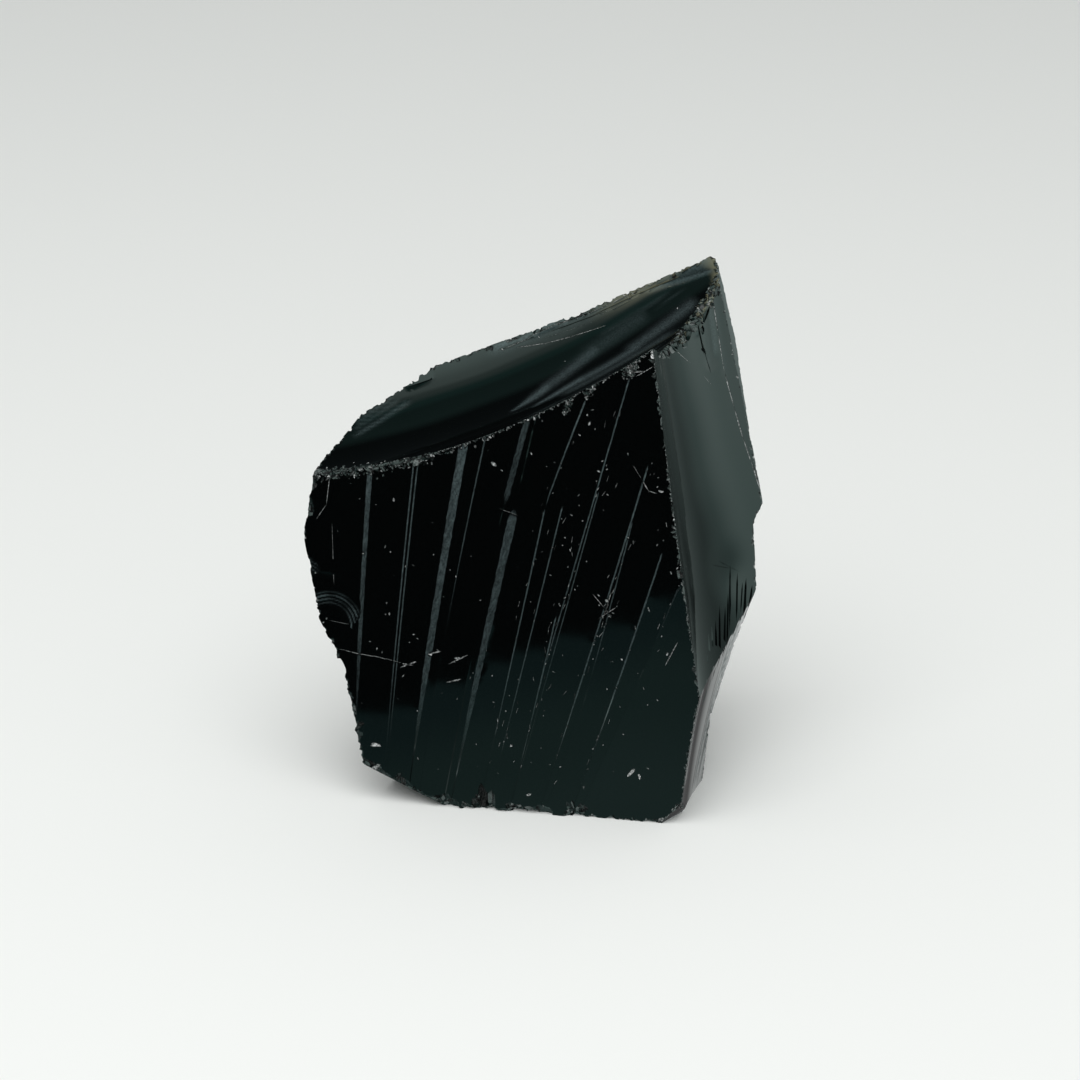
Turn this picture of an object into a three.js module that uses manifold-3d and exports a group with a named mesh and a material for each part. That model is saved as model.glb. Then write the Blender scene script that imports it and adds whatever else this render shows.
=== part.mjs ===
// Obsidian chunk: one piece of black volcanic glass, broken on every side, that stands on a flat break.
//
// The stone is worked out the way it was made. A rough block loses one spall after another, and each
// spall leaves a break: a nearly flat or shell-shaped (conchoidal) face that looks out in one direction.
// A few smaller flakes then leave round scars where edges were knocked.
//
// Millimetres, +Z up. The front looks along -Y, the peak is at the right (+X), and the origin is on the
// ground under the middle of the stone's bounding box.

import * as THREE from 'three';
import { mergeVertices } from 'three/addons/utils/BufferGeometryUtils.js';
import Module from 'manifold-3d';

// ---- Driving dimensions -------------------------------------------------------------------------

// Side of the rough block that the stone is broken from.
const BLOCK_SIZE = 90;
// Point inside the stone that every break's reach is measured from.
const HEART = new THREE.Vector3(0, 2, 30);
// A spall is a slab this wide and this thick, outside its break.
const SPALL_WIDTH = 120;
const SPALL_THICKNESS = 60;
// Facets across a spall whose break is curved; a flat break needs only one.
const CURVED_FACETS = 40;
// Facet count of a flake's round scar: subdivisions of an icosahedron.
const SCAR_DETAIL = 3;

// Each break looks along `facing` (degrees round from the front towards the right) and `lift` (degrees
// above level), `reach` millimetres from the heart. `hollow` holds the radii of its shell shape, level
// across the break and up it: a positive radius is a dish, a negative one a bulge. `middle` is the dish's
// deepest point in the break's own plane, `turn` rolls the dish in that plane, and `sink` deepens it.
// `crease` is a second plane that meets the first in a hollow crease, where a spall stopped short.
const BREAKS = [
  // The big front face, almost flat: it bulges a little from top to bottom.
  { facing: -12, lift: 10, reach: 8.8, hollow: [Infinity, -420], middle: [0, 2] },
  // The long shell-shaped face that slopes up to the peak.
  { facing: -60, lift: 65.6, reach: 14.5, hollow: [13.6, 112], middle: [-7, 8.2], turn: -19.4 },
  // The tall dished face at the right of the front.
  { facing: 56.6, lift: 12, reach: 17.3, hollow: [23, Infinity], middle: [11.3, 4.9], turn: -3 },
  // The narrow strip down the right ridge.
  { facing: 84.5, lift: 12.4, reach: 26.57 },
  // The undercut facet below the right face.
  { facing: 72, lift: -9, reach: 24.75, hollow: [60, 140], middle: [1, -14], sink: 1 },
  // The left side, from its shoulder down to its foot.
  { facing: -108.4, lift: 5.6, reach: 26.4 },
  { facing: -151.3, lift: 4.2, reach: 18.7 },
  { facing: -125.8, lift: 2, reach: 23.1 },
  { facing: -112, lift: -14, reach: 24.3 },
  { facing: -112.8, lift: -29, reach: 23.8, crease: { facing: -110, lift: -14.6, reach: 23.1 } },
  // The back: a broad shallow shell above, a steep face across the middle and an undercut below.
  { facing: -174.4, lift: 13.8, reach: 18.7, hollow: [150, 160], middle: [-4, 0], sink: 0.6 },
  { facing: 176, lift: -7, reach: 19.2, hollow: [140, Infinity], middle: [3, 0], sink: 0.5 },
  { facing: 160, lift: -30, reach: 23.4, hollow: [70, 60], middle: [0, -4], sink: 1 },
  // The right side seen from behind: the peak's back, the long side, the spur's undercut, the foot.
  { facing: 120, lift: 17, reach: 33.5 },
  { facing: 112, lift: -6.5, reach: 25.45, crease: { facing: 112, lift: 10.5, reach: 28.5 } },
  { facing: 100, lift: -33, reach: 22.1, crease: { facing: 100, lift: 1, reach: 26.7 } },
  { facing: 110, lift: -27.5, reach: 26.5, crease: { facing: 95, lift: -5, reach: 22.3 } },
  // The thin blunt tip of the peak.
  { facing: -148.8, lift: 50.2, reach: 25.55 },
  // Under the front's left foot and its right foot.
  { facing: -52, lift: -55, reach: 33.45 },
  { facing: 52, lift: -35, reach: 34.5 },
  // The foot that the stone stands on.
  { facing: 0, lift: -90, reach: 30 },
];

// Round scars of small flakes: middle of the ball that each scar is part of, and its radius.
const SCARS = [
  // Notch behind the left shoulder.
  { middle: [-18.4, 17.4, 49.6], radius: 5.2 },
  // Two shell scars one over the other, on the left edge of the front.
  { middle: [-34.2, -6.6, 26.5], radius: 8.4 },
  { middle: [-35.6, -5.4, 37.0], radius: 8.6 },
];

// ---- Solids -------------------------------------------------------------------------------------

const wasm = await Module();
wasm.setup();

// Turns a closed three.js geometry into a solid that can be cut.
function solidFrom(geometry) {
  const bare = geometry.clone();
  bare.deleteAttribute('normal');
  bare.deleteAttribute('uv');
  const welded = mergeVertices(bare.index ? bare : mergeVertices(bare), 1e-4);
  return new wasm.Manifold(new wasm.Mesh({
    numProp: 3,
    vertProperties: new Float32Array(welded.attributes.position.array),
    triVerts: new Uint32Array(welded.index.array),
  }));
}

// Turns a cut solid back into flat-shaded three.js geometry.
function geometryFrom(solid) {
  const mesh = solid.getMesh();
  const geometry = new THREE.BufferGeometry();
  geometry.setAttribute('position', new THREE.BufferAttribute(mesh.vertProperties, 3));
  geometry.setIndex(new THREE.BufferAttribute(mesh.triVerts, 1));
  return geometry;
}

// Frame of a break: its outward direction is +Z and its level direction is +X, `reach` from the heart.
function breakFrame({ facing, lift, reach, turn = 0 }) {
  const round = THREE.MathUtils.degToRad(facing);
  const up = THREE.MathUtils.degToRad(lift);
  const level = new THREE.Vector3(Math.cos(round), Math.sin(round), 0);
  const outward = new THREE.Vector3(
    Math.sin(round) * Math.cos(up),
    -Math.cos(round) * Math.cos(up),
    Math.sin(up),
  );
  const upward = new THREE.Vector3().crossVectors(outward, level);
  return new THREE.Matrix4()
    .makeBasis(level, upward, outward)
    .setPosition(HEART.clone().addScaledVector(outward, reach))
    .multiply(new THREE.Matrix4().makeRotationZ(THREE.MathUtils.degToRad(turn)));
}

// The spall outside one plane of a break: a slab whose inner side is the break's shell shape.
function spallSolid(plane) {
  const { hollow = [Infinity, Infinity], middle = [0, 0], sink = 0 } = plane;
  const facets = hollow.every((radius) => radius === Infinity) ? 1 : CURVED_FACETS;
  const slab = new THREE.BoxGeometry(SPALL_WIDTH, SPALL_WIDTH, SPALL_THICKNESS, facets, facets, 1);
  slab.translate(0, 0, SPALL_THICKNESS / 2);
  const corner = slab.attributes.position;
  for (let i = 0; i < corner.count; i += 1) {
    if (corner.getZ(i) < SPALL_THICKNESS / 2) {
      const across = corner.getX(i) - middle[0];
      const along = corner.getY(i) - middle[1];
      const dish = across ** 2 / (2 * hollow[0]) + along ** 2 / (2 * hollow[1]) - sink;
      corner.setZ(i, Math.min(dish, SPALL_THICKNESS - 1));
    }
  }
  slab.applyMatrix4(breakFrame(plane));
  return solidFrom(slab);
}

// What one break takes off the block.
function spall(plane) {
  const outside = spallSolid(plane);
  return plane.crease ? outside.intersect(spallSolid(plane.crease)) : outside;
}

// What one small flake takes off.
function flake({ middle, radius }) {
  const ball = new THREE.IcosahedronGeometry(radius, SCAR_DETAIL);
  ball.translate(...middle);
  return solidFrom(ball);
}

function brokenStone() {
  const block = new THREE.BoxGeometry(BLOCK_SIZE, BLOCK_SIZE, BLOCK_SIZE);
  block.translate(...HEART.toArray());
  let stone = solidFrom(block);
  for (const plane of BREAKS) stone = stone.subtract(spall(plane));
  for (const scar of SCARS) stone = stone.subtract(flake(scar));
  const geometry = geometryFrom(stone);
  geometry.computeBoundingBox();
  const { min, max } = geometry.boundingBox;
  geometry.translate(-(min.x + max.x) / 2, -(min.y + max.y) / 2, -min.z);
  geometry.computeVertexNormals();
  return geometry;
}

// ---- The chunk ----------------------------------------------------------------------------------

const obsidian = new THREE.MeshStandardMaterial({
  color: '#0b0f10',
  roughness: 0.06,
  metalness: 0,
  flatShading: true,
});

const chunk = new THREE.Mesh(brokenStone(), obsidian);
chunk.name = 'obsidian_chunk';

const group = new THREE.Group();
group.add(chunk);

export default group;
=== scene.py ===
import math
import random

import bmesh
import bpy
import numpy as np
from bpy.props import FloatProperty, IntProperty, PointerProperty, StringProperty
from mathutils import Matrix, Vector
from mathutils.bvhtree import BVHTree


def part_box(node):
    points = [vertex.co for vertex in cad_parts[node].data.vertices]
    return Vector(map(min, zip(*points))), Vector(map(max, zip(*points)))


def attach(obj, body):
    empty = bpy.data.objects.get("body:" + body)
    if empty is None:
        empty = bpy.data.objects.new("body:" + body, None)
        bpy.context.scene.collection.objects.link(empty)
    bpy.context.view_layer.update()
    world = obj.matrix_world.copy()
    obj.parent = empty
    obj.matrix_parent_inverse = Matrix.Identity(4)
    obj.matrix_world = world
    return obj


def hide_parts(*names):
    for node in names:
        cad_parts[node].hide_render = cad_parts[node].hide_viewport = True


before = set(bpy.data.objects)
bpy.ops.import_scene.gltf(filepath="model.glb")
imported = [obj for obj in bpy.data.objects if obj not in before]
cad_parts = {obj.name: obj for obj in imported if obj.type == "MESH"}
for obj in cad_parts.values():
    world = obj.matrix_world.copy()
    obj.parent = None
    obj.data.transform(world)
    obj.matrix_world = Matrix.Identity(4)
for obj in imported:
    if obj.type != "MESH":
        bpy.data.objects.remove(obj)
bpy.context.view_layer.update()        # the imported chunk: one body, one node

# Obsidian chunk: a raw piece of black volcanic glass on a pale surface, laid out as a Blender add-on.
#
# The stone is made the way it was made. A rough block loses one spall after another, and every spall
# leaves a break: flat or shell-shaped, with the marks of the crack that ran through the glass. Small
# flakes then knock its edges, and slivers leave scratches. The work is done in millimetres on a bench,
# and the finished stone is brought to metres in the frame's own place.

bl_info = {
    "name": "Obsidian chunk",
    "version": (1, 0, 0),
    "blender": (4, 5, 0),
    "location": "3D View > Sidebar > Obsidian",
    "description": "Breaks a chunk of obsidian from a block and sets it on a pale studio floor",
    "category": "Add Mesh",
}

NODE = "obsidian_chunk"
MM = 0.001

# ---- The breaks ---------------------------------------------------------------------------------

# Rough block, and the point inside the stone that each break's reach is measured from (mm).
BLOCK_SIZE = 90.0
HEART = np.array([0.0, 2.0, 30.0])
SPALL_HALF_WIDTH = 60.0
SPALL_THICKNESS = 60.0

# Each break looks along `facing` (degrees round from the front towards the right) and `lift` (degrees
# above level), `reach` mm from the heart. `hollow` holds the radii of its shell shape, level across it
# and up it: positive for a dish, negative for a bulge. `middle` is the dish's deepest point, `turn`
# rolls it, `sink` deepens it. `crease` is a second plane that meets the first in a hollow crease.
BREAKS = {
    "front": dict(facing=-12, lift=10, reach=8.8, hollow=(None, -420), middle=(0, 2)),
    "top": dict(facing=-60, lift=65.6, reach=14.5, hollow=(13.6, 112), middle=(-7, 8.2), turn=-19.4),
    "right": dict(facing=56.6, lift=12, reach=17.3, hollow=(23, None), middle=(11.3, 4.9), turn=-3),
    "ridge": dict(facing=84.5, lift=12.4, reach=26.57),
    "under right": dict(facing=72, lift=-9, reach=24.75, hollow=(60, 140), middle=(1, -14), sink=1.0),
    "left shoulder": dict(facing=-108.4, lift=5.6, reach=26.4),
    "left back": dict(facing=-151.3, lift=4.2, reach=18.7),
    "left": dict(facing=-125.8, lift=2, reach=23.1),
    "left hip": dict(facing=-112, lift=-14, reach=24.3),
    "left foot": dict(facing=-112.8, lift=-29, reach=23.8,
                      crease=dict(facing=-110, lift=-14.6, reach=23.1)),
    "back": dict(facing=-174.4, lift=13.8, reach=18.7, hollow=(150, 160), middle=(-4, 0), sink=0.6),
    "back middle": dict(facing=176, lift=-7, reach=19.2, hollow=(140, None), middle=(3, 0), sink=0.5),
    "back foot": dict(facing=160, lift=-30, reach=23.4, hollow=(70, 60), middle=(0, -4), sink=1),
    "peak side": dict(facing=120, lift=17, reach=33.5),
    "far side": dict(facing=112, lift=-6.5, reach=25.45,
                     crease=dict(facing=112, lift=10.5, reach=28.5)),
    "spur": dict(facing=100, lift=-33, reach=22.1, crease=dict(facing=100, lift=1, reach=26.7)),
    "far foot": dict(facing=110, lift=-27.5, reach=26.5, crease=dict(facing=95, lift=-5, reach=22.3)),
    "tip": dict(facing=-148.8, lift=50.2, reach=25.55),
    "left toe": dict(facing=-52, lift=-55, reach=33.45),
    "right toe": dict(facing=52, lift=-35, reach=34.5),
    "foot": dict(facing=0, lift=-90, reach=30),
    # Three small shell scars: behind the left shoulder, and two on the left edge of the front.
    "notch": dict(facing=-130, lift=40, reach=25.8, hollow=(5.2, 5.2), middle=(0, -0.4)),
    "low scar": dict(facing=-75, lift=0, reach=26.9, hollow=(8.4, 8.4), middle=(-0.55, -3.5)),
    "high scar": dict(facing=-75, lift=0, reach=27.7, hollow=(8.6, 8.6), middle=(-2.1, 7.0)),
    # Two thin shells that flaked off the front beside them.
    "low shell": dict(facing=-13, lift=12.2, reach=8.45, hollow=(75, 75), middle=(-23.2, -9.9)),
    "high shell": dict(facing=-13, lift=12.2, reach=8.65, hollow=(45, 45), middle=(-26.5, -5.0)),
}

# ---- Marks that the cracks left on the breaks ----------------------------------------------------

def smooth(value):
    """0 below 0, 1 above 1, eased between."""
    value = np.clip(value, 0, 1)
    return value * value * (3 - 2 * value)


def waviness(across, along, size, height, seed):
    """Gentle swells that glass is left with where a crack ran, about `size` mm from crest to crest."""
    dice = random.Random(seed)
    swell = np.zeros(np.shape(across))
    for _ in range(7):
        heading = dice.uniform(0, math.pi)
        pace = 2 * math.pi / (size * dice.uniform(0.7, 1.6))
        phase = dice.uniform(0, 2 * math.pi)
        swell = swell + np.sin((across * math.cos(heading) + along * math.sin(heading)) * pace + phase)
    return swell * height / 7


# A mark gives its height (mm) and how misty it is (0 to 1) at places in its break's own plane.

def rib(start, end, width, height, frost, point=1.0):
    """A soft ridge along a line, or a groove where its height is negative; `point` narrows its start."""
    (a0, b0), (a1, b1) = start, end
    run = math.hypot(a1 - a0, b1 - b0)
    da, db = (a1 - a0) / run, (b1 - b0) / run

    def mark(across, along):
        share = ((across - a0) * da + (along - b0) * db) / run
        side = (across - a0) * -db + (along - b0) * da
        side = side + waviness(across, along, run / 2 + 0.5, 0.12, int(run * 100))
        taper = width * (point + (1 - point) * smooth(share * 1.5))
        here = smooth(share / 0.15) * smooth((1 - share) / 0.15) * np.exp(-(side / taper) ** 2)
        return here * height, here * frost

    return mark


def dent(middle, radius, depth):
    """A shallow bowl."""
    def mark(across, along):
        spread = np.hypot(across - middle[0], along - middle[1]) / radius
        return -depth * np.exp(-spread ** 2), 0.0

    return mark


def shells(middle, spacing, height, frost, ring=(0.0, 100.0)):
    """Ripples round the point where the blow landed, within a ring."""
    def mark(across, along):
        far = np.hypot(across - middle[0], along - middle[1])
        far = far + waviness(across, along, 9, spacing * 0.5, 5)
        wave = np.sin(2 * math.pi * far / spacing)
        size = 0.6 + waviness(across, along, 6 * spacing, 1.2, 6)
        size = size * smooth((far - ring[0]) / (1.5 * spacing)) * smooth((ring[1] - far) / spacing)
        return wave * size * height, np.clip(wave * size, 0, 1) * frost

    return mark


def feathers(middle, count, height, frost, seed):
    """Fine ridges that fan out from where the blow landed."""
    def mark(across, along):
        dice = random.Random(seed)
        a, b = across - middle[0], along - middle[1]
        far = np.hypot(a, b)
        ray = np.degrees(np.arctan2(a, -b))
        up = np.zeros(np.shape(across))
        for _ in range(count):
            centre = dice.uniform(-70, 70)
            start, run = dice.uniform(6, 20), dice.uniform(4, 18)
            side = np.radians(ray - centre) * far
            here = smooth((far - start) / 3) * smooth((start + run - far) / 3)
            up = up + here * np.exp(-(side / dice.uniform(0.15, 0.4)) ** 2) * dice.uniform(-1, 1)
        return up * height, np.clip(np.abs(up), 0, 1) * frost

    return mark


# Marks on the breaks that show, all in mm: rib(from, to, width, height, mist), dent(middle, radius,
# depth), shells(middle, spacing, height, mist) and feathers(middle, count, height, mist, seed).
MARKS = {
    "top": [
        rib((-6.4, 3.0), (-8.8, 9.6), 0.6, 0.05, 0.7, point=0.2),
        rib((-8.2, 7.4), (-11.2, 17.0), 0.8, 0.05, 0.42),
        rib((-10.6, 13.8), (-12.0, 24.0), 1.1, 0.02, 0.18),
        rib((-5.4, 5.6), (-6.9, 14.0), 0.55, 0.03, 0.7, point=0.3),
        rib((-6.4, 11.0), (-7.2, 22.0), 0.7, 0.04, 0.5),
        rib((-7.2, 18.5), (-9.2, 30.0), 1.0, 0.04, 0.42), rib((-4.9, 9.0), (-5.9, 26.0), 0.7, 0.0, 0.3),
        rib((-11.6, -15.6), (-14.6, -6.8), 0.24, 0.04, 0.4),
        rib((-12.6, -15.2), (-15.2, -8.0), 0.2, 0.04, 0.25),
        rib((-13.3, -14.6), (-15.9, -8.6), 0.2, 0.04, 0.3),
        rib((-14.0, -14.0), (-16.5, -9.4), 0.2, 0.04, 0.25),
        rib((-14.8, -13.4), (-17.1, -10.0), 0.2, 0.04, 0.3),
        rib((-16.2, -7.2), (-16.4, -3.4), 0.25, -0.25, 0.0),
        rib((-17.6, 3.0), (-16.3, 21.0), 1.1, -0.04, 0.7),
        rib((-16.6, 8.6), (-16.3, 13.6), 0.16, -0.1, 0.0),
        rib((-15.1, 24.0), (-11.4, 33.6), 0.3, 0.1, 0.6),
        rib((-17.3, 23.0), (-13.9, 34.5), 1.6, -0.15, 0.9), feathers((-13, 40), 22, 0.03, 0.25, 4),
    ],
    "right": [
        dent((14.6, -7.6), 3.0, 0.09), dent((8.2, -4.2), 4.0, 0.05),
        rib((15.9, 28.0), (15.6, 17.4), 0.7, -0.09, 0.1),
        rib((16.9, 28.0), (16.9, 18.6), 0.3, 0.05, 0.4),
        rib((18.0, 28.0), (18.0, 16.0), 0.4, -0.06, 0.1),
        rib((14.6, 26.0), (14.0, 22.0), 0.35, 0.06, 0.5),
    ],
    "under right": [
        rib((10.0, -2.0), (1.2, -27.0), 0.25, 0.05, 0.5),
        rib((9.3, -3.0), (0.2, -27.0), 0.3, -0.06, 0.0),
        rib((8.2, -4.0), (-0.6, -27.0), 0.25, 0.06, 0.6),
        rib((6.6, -6.0), (-1.2, -27.0), 0.4, -0.06, 0.0),
        rib((6.0, -9.0), (2.6, -24.0), 0.2, 0.05, 0.4),
    ],
    "ridge": [
        rib((12.2, 28.0), (10.2, -3.0), 0.3, 0.06, 0.6), feathers((12, 42), 16, 0.05, 0.3, 8),
    ],
    "low scar": [shells((-5.0, -6.5), 0.62, 0.022, 0.7)],
    "low shell": [shells((-23.7, -10.8), 0.46, 0.02, 0.8, ring=(2.4, 4.4))],
    "high shell": [shells((-26.7, -5.6), 0.4, 0.016, 0.5, ring=(1.2, 3.2))],
    "high scar": [shells((-6.0, 8.0), 0.8, 0.014, 0.3)],
}


def relief(marks, across, along):
    """Height (mm) and frosting (0 to 1) that marks add to a break."""
    height = np.zeros(np.shape(across))
    frost = np.zeros(np.shape(across))
    for mark in marks:
        up, mist = mark(across, along)
        height = height + up
        frost = np.maximum(frost, mist)
    return height, frost


# ---- The front's hackles --------------------------------------------------------------------------

# The crack that made the front ran up from here, in the front break's own plane (mm).
CRACK_START = (-20.7, -101.8)
# Hackles: where the crack ran on as strips at slightly different levels, each pair of strips is joined
# by a narrow ramp along a ray from the crack's start. Each: the ray's angle at its low and high end
# (degrees), how far from the start it runs (mm), and the ramp's width at both ends (mm).
HACKLES = [
    dict(ray=(0.36, 0.68), run=(78, 116), width=(0.34, 0.60), mist=0.75),
    dict(ray=(3.27, 3.38), run=(76, 118), width=(0.07, 0.12), mist=1.0),
    dict(ray=(3.51, 3.64), run=(76, 118), width=(0.07, 0.12), mist=1.0),
    dict(ray=(5.80, 6.35), run=(75, 121), width=(0.50, 1.15), mist=0.85),
    dict(ray=(7.00, 7.55), run=(91, 118), width=(0.06, 0.12), mist=0.7),
    dict(ray=(9.45, 9.85), run=(109.2, 124), width=(0.60, 0.70), mist=0.6, fade=1),
    dict(ray=(10.00, 10.14), run=(73, 108.8), width=(0.30, 1.05), mist=0.62),
    dict(ray=(12.65, 12.00), run=(77, 110), width=(0.06, 0.12), mist=0.9),
    dict(ray=(11.80, 12.70), run=(107, 124), width=(0.08, 0.14), mist=1.0, fade=3),
    dict(ray=(13.50, 13.02), run=(78, 111), width=(0.06, 0.10), mist=0.8),
    dict(ray=(15.45, 14.62), run=(77, 98), width=(0.07, 0.10), mist=0.8),
    dict(ray=(14.95, 14.64), run=(90, 128), width=(0.09, 0.12), mist=1.0, fade=5),
    dict(ray=(15.40, 14.90), run=(84, 114), width=(0.06, 0.08), mist=0.7),
    dict(ray=(18.20, 17.15), run=(78, 119), width=(0.08, 0.15), mist=1.0),
    dict(ray=(18.45, 17.40), run=(92, 112), width=(0.06, 0.10), mist=0.7, fade=5),
    dict(ray=(20.95, 19.80), run=(79, 110), width=(0.08, 0.14), mist=0.9),
    dict(ray=(21.70, 21.60), run=(98, 107), width=(0.08, 0.10), mist=0.7),
]
# How far each strip leans back from the front's mean lie, from left to right (degrees).
STRIP_LEANS = (
    2.4, 2.3, 2.25, 2.1, 1.5, 1.4, 1.15, 0.8, 0.6, 0.5, 0.42, 0.3, 0.05, 0.0, -0.3, -0.4, -1.1, -1.6,
)
# The strips lie level with each other at this height (mm in the front's plane).
STRIPS_MEET = -12.0
# Width of the guard beside a ramp, where the glass turns into the flat strip (mm).
GUARD = 0.06
# The front's mesh: rows at these distances from the crack's start (from, to, step in mm), columns along
# these rays left and right of the hackles (degrees), on each flat strip, and across half a ramp.
FRONT_ROWS = ((50, 70, 4), (70, 128, 0.5), (128, 200, 6))
RAYS_LEFT = (-32, -20, -12, -8, -5, -3, -1.5)
RAYS_RIGHT = (23, 25, 28, 32, 38, 46, 56)
FLAT_COLUMNS = 3
RAMP_COLUMNS = (-1, -0.5, 0, 0.5, 1)


def axes_of(plane):
    """Unit directions of a break's plane: across it, along it, and outward."""
    facing = math.radians(plane["facing"])
    lift = math.radians(plane["lift"])
    turn = math.radians(plane.get("turn", 0))
    level = np.array([math.cos(facing), math.sin(facing), 0.0])
    outward = np.array([
        math.sin(facing) * math.cos(lift),
        -math.cos(facing) * math.cos(lift),
        math.sin(lift),
    ])
    upward = np.cross(outward, level)
    across = level * math.cos(turn) + upward * math.sin(turn)
    along = upward * math.cos(turn) - level * math.sin(turn)
    return across, along, outward


def dish(plane, across, along):
    """Height of a break's shell shape over its own plane (mm)."""
    height = np.full(np.shape(across), -float(plane.get("sink", 0)))
    middle = plane.get("middle", (0, 0))
    for radius, offset in zip(plane.get("hollow", (None, None)), (across - middle[0], along - middle[1])):
        if radius:
            height = height + offset ** 2 / (2 * radius)
    return height


def outside_by(plane, points):
    """How far points lie outside a break's surface (mm)."""
    a, b, n = axes_of(plane)
    offset = points - HEART
    return offset @ n - plane["reach"] - dish(plane, offset @ a, offset @ b)


# ---- Solids on the bench ------------------------------------------------------------------------

def bench_object(name, corners, faces, frost=0.0, crush=0.0):
    """A closed mesh on the bench, with how frosted and how crushed the glass is at each corner."""
    mesh = bpy.data.meshes.new(name)
    mesh.from_pydata([tuple(c) for c in corners], [], faces)
    for mark, amount in (("frost", frost), ("crush", crush)):
        values = np.zeros(len(corners), np.float32) + amount
        mesh.attributes.new(mark, "FLOAT", "POINT").data.foreach_set("value", values.astype(np.float32))
    piece = bpy.data.objects.new(name, mesh)
    bpy.context.scene.collection.objects.link(piece)
    return piece


def slab(name, plane, across, along, height, frost):
    """The spall outside a break: a closed slab whose inner side is the break's surface.

    across, along, height and frost are grids of the inner side, over the break's plane.
    """
    a, b, n = axes_of(plane)
    rows, columns = across.shape
    flat = np.stack([across.ravel(), along.ravel()], 1)
    base = HEART + flat[:, :1] * a + flat[:, 1:] * b
    inner = base + np.outer(plane["reach"] + np.minimum(height.ravel(), SPALL_THICKNESS - 1), n)
    index = np.arange(rows * columns).reshape(rows, columns)
    rim = np.concatenate([index[:, 0], index[-1, 1:], index[-2::-1, -1], index[0, -2:0:-1]])
    outer = base[rim] + (plane["reach"] + SPALL_THICKNESS) * n
    top = np.arange(len(rim)) + rows * columns
    cells = np.stack([index[:-1, :-1], index[:-1, 1:], index[1:, 1:], index[1:, :-1]], -1).reshape(-1, 4)
    walls = np.stack([rim, np.roll(rim, -1), np.roll(top, -1), top], 1)
    faces = cells.tolist() + walls.tolist() + [top.tolist()]
    mist = np.concatenate([np.clip(frost, 0, 1).ravel(), np.zeros(len(rim))])
    return bench_object(name, np.concatenate([inner, outer]), faces, mist)


def boolean(piece, cutter, operation):
    """Cuts piece by cutter and removes the cutter."""
    step = piece.modifiers.new(operation, "BOOLEAN")
    step.operation = operation
    step.solver = "MANIFOLD"
    step.object = cutter
    graph = bpy.context.evaluated_depsgraph_get()
    cut = bpy.data.meshes.new_from_object(piece.evaluated_get(graph))
    if not cut.polygons:
        raise RuntimeError(f"cutting {piece.name} by {cutter.name} left nothing")
    piece.modifiers.clear()
    old = piece.data
    piece.data = cut
    bpy.data.meshes.remove(old)
    remove_object(cutter)


def remove_object(piece):
    """Clears away an object and its mesh."""
    mesh = piece.data
    bpy.data.objects.remove(piece)
    bpy.data.meshes.remove(mesh)


# Grid spacing on the breaks that show fine marks (mm); the rest use the setting.
FINE_STEPS = {
    "top": 0.32, "right": 0.38, "ridge": 0.35, "under right": 0.35, "low scar": 0.2, "high scar": 0.25,
    "low shell": 0.14, "high shell": 0.16, "foot": 20.0,
}
# Grid spacing for roughing out (mm).
ROUGH_STEP = 3.0
# The fine part of a grid stays this far inside its slab (mm), and coarse lines fill the rest.
GRID_INSET = 5
COARSE_LINES = 4
# Unevenness of a flat break and of a dished one, and how wide its swells are (mm).
FLAT_SWELL = 0.10
DISHED_SWELL = 0.02
SWELL_SIZE = 11


def grid_line(low, high, step):
    """Grid places along one axis: fine between low and high, and coarse out to the slab's edges."""
    widest = SPALL_HALF_WIDTH - GRID_INSET
    low, high = max(low, -widest), min(high, widest)
    fine = np.linspace(low, high, max(int((high - low) / step), 1) + 1)
    before = np.linspace(-SPALL_HALF_WIDTH, low, COARSE_LINES)[:-1]
    after = np.linspace(high, SPALL_HALF_WIDTH, COARSE_LINES)[1:]
    return np.concatenate([before, fine, after])


def plain_spall(name, plane, extent, step, number):
    """A spall off any break but the front: its shell shape, its marks and a little unevenness."""
    (a0, a1), (b0, b1) = extent
    across, along = np.meshgrid(grid_line(a0, a1, step), grid_line(b0, b1, step), indexing="ij")
    marks = MARKS.get(name)
    if marks is None:
        blow = ((a0 + a1) / 2, b1 + 3)
        marks = [
            shells(blow, 3.2, 0.035, 0.0),
            feathers(blow, 14, 0.06, 0.35, number),
        ]
    height, frost = relief(marks, across, along)
    swell = DISHED_SWELL if "hollow" in plane else FLAT_SWELL
    height = height + dish(plane, across, along) + waviness(across, along, SWELL_SIZE, swell, number)
    return slab(name, plane, across, along, height, frost)


def ramp_places(distance):
    """For each hackle, at one distance from the crack's start: ray, half ramp, with guard (degrees)."""
    places = []
    for hackle in HACKLES:
        low, high = hackle["run"]
        share = min(max((distance - low) / (high - low), -0.3), 1.3)
        ray = hackle["ray"][0] + share * (hackle["ray"][1] - hackle["ray"][0])
        width = hackle["width"][0] + share * (hackle["width"][1] - hackle["width"][0])
        shown = min(max((distance - low) / hackle.get("fade", 12), 0), max((high - distance) / 0.5, 0), 1)
        width = max(width, 0.05) * max(shown, 0.15)
        half = math.degrees(width / 2 / distance)
        mist = shown * hackle["mist"] * (0.45 + 0.55 * min(max(share, 0), 1))
        places.append((ray, half, half + math.degrees(GUARD / distance), mist))
    return places


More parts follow.
